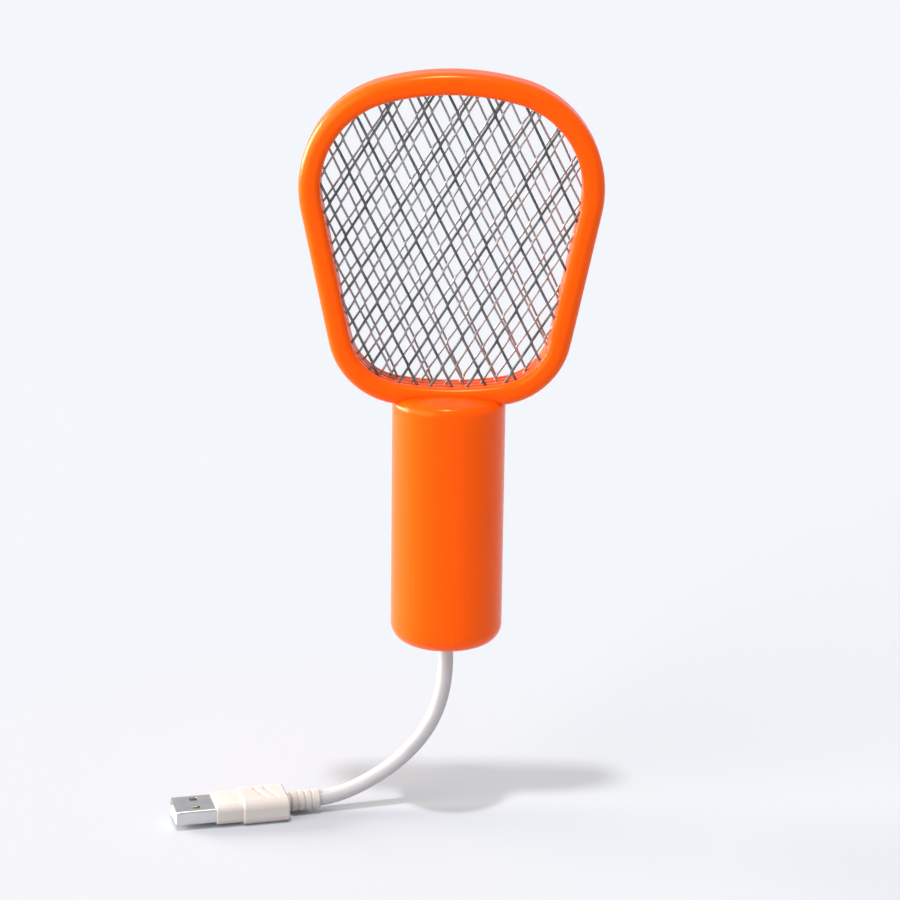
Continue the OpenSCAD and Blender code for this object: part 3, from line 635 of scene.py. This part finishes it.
# Carries a closed section, listed as (inwards, forwards), round the whole outline
def roundTheHead(section):
    rings = []
    for inwards, forwards in section:
        flat = headOutline(inwards)
        rings.append(np.column_stack([flat[:, 0], np.full(len(flat), -forwards), flat[:, 1]]))
    return surface(np.stack(rings, 1) * mm, closedAlong=True, closedAcross=True)


# An outline (x, y) raised from one height to another
def raised(outline, low, high):
    levels = [np.column_stack([outline, np.full(len(outline), z)]) for z in (low, high)]
    return surface(np.stack(levels) * mm, closedAcross=True, capStart=True, capEnd=True)


# Half of the hollow ring cut across, as (inwards, forwards); the edge is how it meets the other half
def frameSection(look, edge):
    depth, width, wall = look["ringDepth"] / 2, look["ringWidth"], look["wall"]
    lip, small, deep = look["lip"], look["edgeRound"], look["deepRound"]
    corners = [(0, 0, look["partingRound"]), (0, depth, look["outerRound"]),
               (width, depth, look["innerRound"]), (width, lip, small), (width - wall, lip, small),
               (width - wall, depth - wall, deep), (wall, depth - wall, deep)]
    return roundedProfile(corners + edge, steps=10)


# One half of the ring, with the channel-shaped half of the neck that the handle holds by its flange
def makeHeadFrame(name, node, look, edge, towards):
    low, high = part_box(node)[0].z / mm, headLow + look["wall"] / 2
    surfaces = [roundTheHead(frameSection(look, edge) * [1, -towards])]
    width, depth = look["neckWidth"] / 2, look["neckDepth"] / 2
    inner, deep = width - look["neckWall"], depth - look["neckWall"]
    flangeLow = low - 0.001  # a micron lower than the neck, so that the two share no edge
    for grow, bottom, top in ((0, low, high), (look["flange"], flangeLow, low + look["flangeHeight"])):
        x, y = width + grow, depth + grow
        channel = [(-x, 0), (-x, y), (x, y), (x, 0), (inner, 0), (inner, deep), (-inner, deep), (-inner, 0)]
        surfaces.append(raised(np.array(channel) * [1, towards], bottom, top))
    makePiece(name, surfaces, "orange_shell", replaces=[node])


lapAt, lap, lapGap = headLook["wall"] / 2, headLook["lap"], headLook["lapGap"]
tongue = [(headLook["wall"], -lap, 0.1), (lapAt + lapGap, -lap, 0.1), (lapAt + lapGap, 0, 0)]
rebate = [(headLook["wall"], lap + lapGap, 0.1), (lapAt, lap + lapGap, 0.1), (lapAt, 0, 0.1)]
makeHeadFrame("headFrontFrame", "head_front_frame", headLook, tongue, -1)
makeHeadFrame("headRearFrame", "head_rear_frame", headLook, rebate, 1)
print("head frames made")


# ---- mesh sheets and the spacers between them

# Parts of the thickness: strandDepth is a strand's own depth, and apart is how far each slant lies from
# the middle. Drift is how unevenly the strands are spaced, in millimetres
meshLook = dict(thickness=0.8, strandDepth=0.62, apart=0.17, round=0.16, pitch=3.2, cellWidth=10,
                cellHeight=18.5, bond=0.5, bend=0.2, drift=0.06, endClear=0.3, strandsEachWay=12,
                cellsEachWay=4, edge=2.2, rim=3.2, rimRound=0.15, tabWidth=3, tabX=5.4, tabDepth=0.96)
# Layers count from the front; a sheet is shifted by (sideways, up) and turned by some degrees
meshSheets = [
    dict(name="frontMesh", node="front_mesh", slot="front_mesh_steel", layer=-1, width=0.75,
         shift=(0, 0), turn=-3, tabSide=-1, seed=3),
    dict(name="centreMesh", node="centre_mesh", slot="inner_mesh_steel", layer=0, width=0.6,
         shift=(3.2, -0.3), turn=-2, tabSide=1, seed=5),
    dict(name="rearMesh", node="rear_mesh", slot="inner_mesh_steel", layer=1, width=0.6,
         shift=(-3.2, -2.7), turn=-4.5, tabSide=-1, seed=8)]


# Strands of both slants, each cut where it meets the middle of the rim. They meet every half cell in a
# short upright bond, so a strand's distance sideways is tan(slant) times a zigzag that stands still over
# each bond
def meshStrands(look, width, shift, turn, depth, seed):
    chance = np.random.default_rng(seed)
    half = look["cellHeight"] / 2
    slant = look["cellWidth"] / look["cellHeight"]
    middle = np.array([shift[0], (headLow + headTop) / 2 + shift[1]])
    rim = headOutline(look["edge"] + look["rim"] / 2)
    section = roundedRect(width, look["thickness"] * look["strandDepth"], look["round"], steps=1)
    turn = math.radians(turn)
    spin = np.array([[math.cos(turn), -math.sin(turn)], [math.sin(turn), math.cos(turn)]])
    seen = (rim - middle) @ spin
    bond, bend = look["bond"] / 2, look["bend"]
    reach = 2 * look["cellsEachWay"]
    bonds = np.arange(-reach, reach + 1)[:, None] * half
    level = (bonds + [-bond - bend, -bond + bend, bond - bend, bond + bend]).ravel()
    zigzag = (bonds + np.array([-bend, 0, 0, bend]) * half / (half - 2 * bond)).ravel()
    strands = []
    for side in (-1, 1):
        for i in range(-look["strandsEachWay"], look["strandsEachWay"] + 1):
            off = seen[:, 0] + side * seen[:, 1] * slant - i * look["cellWidth"]
            cross = np.nonzero(np.sign(off) != np.sign(np.roll(off, -1)))[0]
            drift = chance.normal(0, look["drift"], 2)
            if len(cross) < 2:
                continue
            after = (cross + 1) % len(rim)
            part = off[cross] / (off[cross] - off[after])
            ends = seen[cross, 1] + part * (seen[after, 1] - seen[cross, 1])
            low, high = ends.min(), ends.max()
            inside = (level > low + look["endClear"]) & (level < high - look["endClear"])
            z = np.concatenate([[low], level[inside], [high]])
            x = i * look["cellWidth"] - side * slant * np.interp(z, level, zigzag)
            x = x + drift[0] + drift[1] * z / half
            line = middle + np.column_stack([x, z]) @ spin.T
            rise = depth + side * look["thickness"] * look["apart"]
            path = np.column_stack([line[:, 0], np.full(len(line), rise), line[:, 1]]) * mm
            strands.append(sweep(path, section * mm, (0, 1, 0), capStart=True, capEnd=True))
    return strands


def makeMeshSheet(look, name, node, slot, layer, width, shift, turn, tabSide, seed):
    half, depth, edge = look["thickness"] / 2, layer * look["pitch"], look["rimRound"]
    outer, inner = look["edge"], look["edge"] + look["rim"]
    flat = [(outer, half, edge), (inner, half, edge), (inner, -half, edge), (outer, -half, edge)]
    surfaces = meshStrands(look, width, shift, turn, depth, seed)
    surfaces.append(roundTheHead(roundedProfile(flat, steps=3) + [0, -depth]))
    tab = roundedRect(look["tabWidth"], look["thickness"] * look["tabDepth"], edge, steps=3)
    tab = tab + [tabSide * look["tabX"], depth]
    surfaces.append(raised(tab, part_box(node)[0].z / mm, headLow + look["edge"] + look["rim"] / 2))
    makePiece(name, surfaces, slot, replaces=[node])


for sheet in meshSheets:
    makeMeshSheet(meshLook, **sheet)


def makeSpacer(name, node, look, gap=0.3, edge=0.2):
    low, high = (corner.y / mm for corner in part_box(node))
    outer, inner = look["wall"] + gap, look["ringWidth"]
    section = [(outer, -low, edge), (inner, -low, edge), (inner, -high, edge), (outer, -high, edge)]
    makePiece(name, [roundTheHead(roundedProfile(section, steps=3))], "orange_shell", replaces=[node])


makeSpacer("frontSpacer", "front_spacer", headLook)
makeSpacer("rearSpacer", "rear_spacer", headLook)
print("mesh sheets and spacers made")


# ---- handle

# The panel is the middle of a shell, that many degrees to each side. The holed stretches of the rear one
# reach that far from the low screw, the button and the high screw
handleLook = dict(radius=16.5, wall=2, end=2.5, endFlat=7, endRound=5.5, topRound=3, domeRise=1.5,
                  ceiling=69.5, straight=(10, 68), parting=0.18, lip=0.45, panel=28, panelColumns=19,
                  stretches=(5.5, 6.5, 5), hole=4.0, holeBevel=0.3, buttonHole=4.8, lampHole=1.6,
                  screws=(19, 61), screwHole=1.35, counterbore=2.5, boss=3.7, seat=9.5, pilot=1.3,
                  pilotDepth=8.5, spigot=2.45, boardThick=1.6, postAt=(10, 47), post=1.2, postDepth=11.8)
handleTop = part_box("handle_front_shell")[1].z / mm


def arcPoints(centre, radius, start, end, count):
    angle = np.radians(np.linspace(start, end, count))
    return np.array(centre) + radius * np.column_stack([np.cos(angle), np.sin(angle)])


# Outer and inner profile as (distance from the axis, height), with rows at the given levels of the
# straight side; the dome is an arc that the rounded edge runs into where the line between their centres
# crosses both
def handleProfile(look, levels):
    r, top, edge = look["radius"], handleTop, look["topRound"]
    side = top - look["domeRise"] - edge
    reach = r - edge
    domeRadius = (reach**2 + (look["domeRise"] + edge)**2 - edge**2) / (2 * look["domeRise"])
    meet = math.degrees(math.atan2(side - top + domeRadius, reach))
    low, inner = look["endRound"], look["endRound"] - look["wall"]
    hole, bevel, bare = look["hole"], look["holeBevel"], r - look["wall"]
    outer = np.vstack([
        [(hole, bevel), (hole + bevel, 0), (look["endFlat"], 0)],
        arcPoints((r - low, low), low, -90, 0, 18),
        np.column_stack([np.full(len(levels), r), levels]),
        arcPoints((reach, side), edge, 0, meet, 12),
        arcPoints((0, top - domeRadius), domeRadius, meet, 90, 12)[1:]])
    within = np.vstack([
        [(0, look["ceiling"]), (bare, look["ceiling"])],
        np.column_stack([np.full(len(levels), bare), levels])[::-1],
        arcPoints((bare - inner, look["end"] + inner), inner, 0, -90, 8),
        [(hole, look["end"])]])
    return outer, within


# Profile points turned by an angle from the front or rear middle; towards is -1 in front and 1 behind
def turnedPoints(profile, theta, towards):
    theta = np.radians(theta)[:, None]
    x = profile[:, 0] * np.sin(theta)
    y = towards * profile[:, 0] * np.cos(theta)
    return np.dstack([x, y, np.broadcast_to(profile[:, 1], x.shape)])


# Columns from one parting edge to the other: close together where the edge is rounded, the inset being
# parting * (1 - cos a) at parting * (1 - sin a) from the parting plane
def handleColumns(look, plain=21):
    a = np.linspace(math.pi / 2, 0, 6)
    edge = 90 - np.degrees(look["parting"] / look["radius"] * (1 - np.sin(a)))
    outside = np.concatenate([edge, np.linspace(edge[-1], look["panel"], plain + 1)[1:]])
    inset = np.concatenate([look["parting"] * (1 - np.cos(a)), np.zeros(plain)])
    return outside, inset


# From the parting edge to the panel; the inset goes square to the outer profile, except at the top of the
# dome, which stays on the axis
def sideWall(look, outer, within, towards, sign):
    theta, inset = handleColumns(look)
    ahead = np.gradient(outer, axis=0)
    square = np.column_stack([-ahead[:, 1], ahead[:, 0]]) / np.linalg.norm(ahead, axis=1)[:, None]
    square[-1] = (0, 0)
    rows = [turnedPoints(np.vstack([outer + square * amount, within]), np.array([sign * t]), towards)[0]
            for t, amount in zip(theta, inset)]
    return surface(np.stack(rows) * mm, closedAcross=True, capStart=True)


# A stretch of the panel with a hole in it: rings run from the panel's border on the outside in to the hole,
# down the hole's own profile of (radius, depth), and out to the border again on the inside
def holedPanel(look, theta, levels, centre, hole, inside, profile):
    border = np.vstack([np.column_stack([theta, np.full(len(theta), levels[0])])[:-1],
                        np.column_stack([np.full(len(levels), theta[-1]), levels])[:-1],
                        np.column_stack([theta, np.full(len(theta), levels[-1])])[:0:-1],
                        np.column_stack([np.full(len(levels), theta[0]), levels])[:0:-1]])
    sine, cosine = np.sin(np.radians(border[:, 0])), np.cos(np.radians(border[:, 0]))
    r, bare, lip = look["radius"], look["radius"] - look["wall"], look["lip"]
    angle = np.arctan2(border[:, 1] - centre, r * sine)
    circle = np.column_stack([np.cos(angle), np.sin(angle)])

    def onWall(radius, flat, sunk=0):
        return np.column_stack([flat[:, 0], np.sqrt(radius**2 - flat[:, 0]**2) - sunk, flat[:, 1] + centre])

    def borderAt(radius):
        return np.column_stack([radius * sine, radius * cosine, border[:, 1]])

    rim, innerRim = circle * (hole + lip), circle * inside
    flat, innerFlat = (borderAt(radius)[:, [0, 2]] - [0, centre] for radius in (r, bare))
    rings = [borderAt(r)] + [onWall(r, flat + t * (rim - flat)) for t in (0.25, 0.5, 0.75, 0.92)]
    for a in np.linspace(0, math.pi / 2, 7):
        rings.append(onWall(r, circle * (hole + lip * (1 - math.sin(a))), lip * (1 - math.cos(a))))
    for radius, depth in profile:
        ring = radius * circle
        rings.append(np.column_stack([ring[:, 0], np.full(len(ring), depth), ring[:, 1] + centre]))
    rings += [onWall(bare, innerRim + t * (innerFlat - innerRim)) for t in (0, 0.5)] + [borderAt(bare)]
    return surface(np.stack(rings) * mm, closedAcross=True)


# A round post on the inside of the front wall, its profile as (radius, distance from the parting plane)
def frontPost(x, z, profile):
    return turned(np.array(profile) * mm, (x * mm, 0, z * mm), (0, -1, 0), steps=40)


# The screw posts have a spigot that passes through the board, and two thin posts carry the board by the
# button
def frontPosts(look):
    board, deep = look["boardThick"], look["radius"] - look["wall"] / 2
    pilot, bottom, spigot, boss = look["pilot"], look["pilotDepth"], look["spigot"], look["boss"]
    screwPost = [(0, bottom), (pilot, bottom), (pilot, 0), (spigot, 0), (spigot, board), (boss, board),
                 (boss, deep), (0, deep)]
    post, end = look["post"], look["postDepth"]
    boardPost = [(0, board), (post, board), (post, end), (0, end)]
    x, z = look["postAt"]
    return ([frontPost(0, height, screwPost) for height in look["screws"]]
            + [frontPost(side * x, z, boardPost) for side in (-1, 1)])


def panelColumns(look):
    return np.linspace(-look["panel"], look["panel"], look["panelColumns"])


def makeHandleFront(look):
    outer, within = handleProfile(look, np.linspace(*look["straight"], 16))
    ring = turnedPoints(np.vstack([outer, within]), panelColumns(look), -1)
    walls = [sideWall(look, outer, within, -1, sign) for sign in (-1, 1)]
    surfaces = [surface(ring * mm, closedAcross=True)] + walls + frontPosts(look)
    makePiece("handleFrontShell", surfaces, "orange_shell", replaces=["handle_front_shell"])


# The rear panel is in stretches: four with a hole in each, a plain strip between the low screw and the
# button, and what is left of the profile below and above them
def makeHandleRear(look):
    button, lamp = ((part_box(node)[0].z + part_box(node)[1].z) / 2 / mm
                    for node in ("push_button", "indicator_lamp"))
    lowScrew, highScrew = look["screws"]
    lowReach, buttonReach, highReach = look["stretches"]
    bore, buttonHole, lampHole = look["counterbore"], look["buttonHole"], look["lampHole"]
    between = (lamp + lampHole + highScrew - bore) / 2
    boss = [(bore, look["seat"]), (look["screwHole"], look["seat"]), (look["screwHole"], 0),
            (look["boss"], 0)]
    holes = [(lowScrew - lowReach, lowScrew + lowReach, lowScrew, bore, look["boss"], boss),
             (button - buttonReach, button + buttonReach, button, buttonHole, buttonHole, []),
             (button + buttonReach, between, lamp, lampHole, lampHole, []),
             (between, highScrew + highReach, highScrew, bore, look["boss"], boss)]
    stretches = [np.linspace(low, high, 9) for low, high, *_ in holes]
    plain = np.linspace(stretches[0][-1], stretches[1][0], 5)
    levels = np.unique(np.round(np.concatenate(stretches + [plain, look["straight"]]), 6))
    outer, within = handleProfile(look, levels)
    theta = panelColumns(look)
    surfaces = [sideWall(look, outer, within, 1, sign) for sign in (-1, 1)]
    for stretch, (_, _, centre, hole, inside, profile) in zip(stretches, holes):
        surfaces.append(holedPanel(look, theta, np.round(stretch, 6), centre, hole, inside, profile))
    ring = np.vstack([outer, within])
    low = np.nonzero(ring[:, 1] <= levels[1])[0]
    split = np.nonzero(np.diff(low) > 1)[0][0] + 1
    lower = np.concatenate([low[split:], low[:split]])
    upper = np.nonzero(ring[:, 1] >= levels[-2])[0]
    for part in (lower, upper):
        surfaces.append(surface(turnedPoints(ring[part], theta, 1) * mm))
    for radius in (look["radius"], look["radius"] - look["wall"]):
        strip = np.column_stack([np.full(len(plain), radius), np.round(plain, 6)])
        surfaces.append(surface(turnedPoints(strip, theta, 1) * mm))
    makePiece("handleRearShell", surfaces, "orange_shell", replaces=["handle_rear_shell"])


makeHandleFront(handleLook)
makeHandleRear(handleLook)
print("handle shells made")


# ---- button and lamp

# Dish is the radius of the sphere that hollows the cap
buttonLook = dict(radius=4.5, flange=5.9, flangeDepth=1, edge=0.7, cornerRound=0.15, dish=12, dishDepth=0.6)


# Cap profile, from the middle outwards: a dish that is part of a sphere, its height
# dish - sqrt(dish^2 - r^2) above its lowest point, then the rounded edge, the side and the flange
def makeButton(look):
    low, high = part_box("push_button")
    top, radius, rim = (high.y - low.y) / mm, look["radius"], look["radius"] - look["edge"]
    flange, deep, small = look["flange"], look["flangeDepth"], look["cornerRound"]
    r = np.linspace(0, rim, 14)
    rise = look["dish"] - np.sqrt(look["dish"]**2 - r**2)
    dish = np.column_stack([r, np.minimum(top - look["dishDepth"] + rise, top)])
    edge = roundedProfile([(rim, top - look["dishDepth"] + rise[-1], 0), (radius, top, look["edge"] * 0.8),
                           (radius, deep, small), (flange, deep, small), (flange, 0, small), (0, 0, 0)],
                          closed=False, steps=8)
    centre = np.array([0, low.y, (low.z + high.z) / 2])
    cap = turned(np.vstack([dish, edge[1:]]) * mm, centre, (0, 1, 0), steps=96)
    makePiece("buttonCap", [cap], "button_black", body="button", replaces=["push_button"])


makeButton(buttonLook)


# A round dome on a short barrel, with a collar at its foot
def makeLamp(radius=1.5, collar=1.9, collarDepth=1.0):
    low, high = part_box("indicator_lamp")
    top = (high.y - low.y) / mm
    arc = np.linspace(0, math.pi / 2, 12)
    dome = np.column_stack([radius * np.sin(arc), top - radius + radius * np.cos(arc)])
    foot = [(radius, top - radius, 0), (radius, collarDepth, 0.1), (collar, collarDepth, 0.15),
            (collar, 0, 0.15), (0, 0, 0)]
    foot = roundedProfile(foot, closed=False, steps=4)
    centre = np.array([0, low.y, (low.z + high.z) / 2])
    lens = turned(np.vstack([dome, foot[1:]]) * mm, centre, (0, 1, 0), steps=48)
    makePiece("indicatorLamp", [lens], "lamp_red", replaces=["indicator_lamp"])


makeLamp()
print("button and lamp made")


# ---- switch spring

# Wire is the wire's radius in millimetres, ends is how much of a turn lies flat at each end, and squeezed
# is the part of the length that is left when the button is pressed
springLook = dict(wire=0.15, turns=4, ends=0.5, squeezed=0.63)


# Helix about the plunger's axis: radius * (cos a, sin a) across, and a part of the height along it. The
# height is held over the first and last half turns, which lie flat, and rises evenly between them
def makeSpring(look):
    low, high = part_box("switch_spring")
    wire = look["wire"] * mm
    middle, radius = (low.z + high.z) / 2, (high.x - low.x) / 2 - wire
    bottom, top = low.y + wire, high.y - wire
    part = np.linspace(0, 1, look["turns"] * 36 + 1)
    flat = look["ends"] / look["turns"]
    height = bottom + (top - bottom) * np.clip((part - flat) / (1 - 2 * flat), 0, 1)
    angle = 2 * math.pi * look["turns"] * part
    path = np.column_stack([radius * np.cos(angle), height, middle + radius * np.sin(angle)])
    turn = np.linspace(0, 2 * math.pi, 12, endpoint=False)
    section = np.column_stack([np.cos(turn), np.sin(turn)]) * wire
    coil = sweep(path, section, (0, 1, 0), capStart=True, capEnd=True)
    spring = makePiece("switchSpring", [coil], "tinned_wire", replaces=["switch_spring"])
    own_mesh(spring)


makeSpring(springLook)
print("spring made")


# ---- floor and light

def makeFloor(width=60):
    edge = np.linspace(-width / 2, width / 2, 3)
    x, y = np.meshgrid(edge, edge)
    points, faces = surface(np.dstack([x, y, np.full_like(x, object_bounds()[0].z)]))
    mesh = bpy.data.meshes.new("floor")
    mesh.from_pydata(points.tolist(), [], faces)
    finish = Finish("floorPaper", Roughness=0.8, Specular_IOR_Level=0.05)
    mesh.materials.append(finish.wire(Base_Color=whole(0.445, 0.465, 0.505)))
    floor = bpy.data.objects.new("floor", mesh)
    bpy.context.scene.collection.objects.link(floor)


# An even light over the whole floor; width is its angular size in degrees
def makeLight(name, comesFrom, width, power, colour=(1, 1, 1)):
    data = bpy.data.lights.new(name, "SUN")
    data.angle = math.radians(width)
    data.energy = power
    data.color = colour
    light = bpy.data.objects.new(name, data)
    light.rotation_mode = "QUATERNION"
    light.rotation_quaternion = (-Vector(comesFrom)).to_track_quat("-Z", "Y")
    bpy.context.scene.collection.objects.link(light)


def makeWorld(colour, strength):
    world = bpy.data.worlds.new("paleRoom")
    world.use_nodes = True
    sky = world.node_tree.nodes["Background"]
    sky.inputs["Color"].default_value = colour
    sky.inputs["Strength"].default_value = strength
    bpy.context.scene.world = world


makeFloor()
makeWorld(colour=whole(0.95, 0.975, 1.0), strength=0.6)
makeLight("keyLeft", comesFrom=(-0.94, 0.34, 0.14), width=40, power=10.5, colour=(1, 0.93, 0.8))
makeLight("fillFrontLeft", comesFrom=(-0.75, -0.55, 0.4), width=50, power=2.5, colour=(1, 0.97, 0.92))
makeLight("overhead", comesFrom=(-0.05, -0.1, 1), width=4, power=1.9)
bpy.context.scene.view_settings.view_transform = "Standard"
print("stage made")
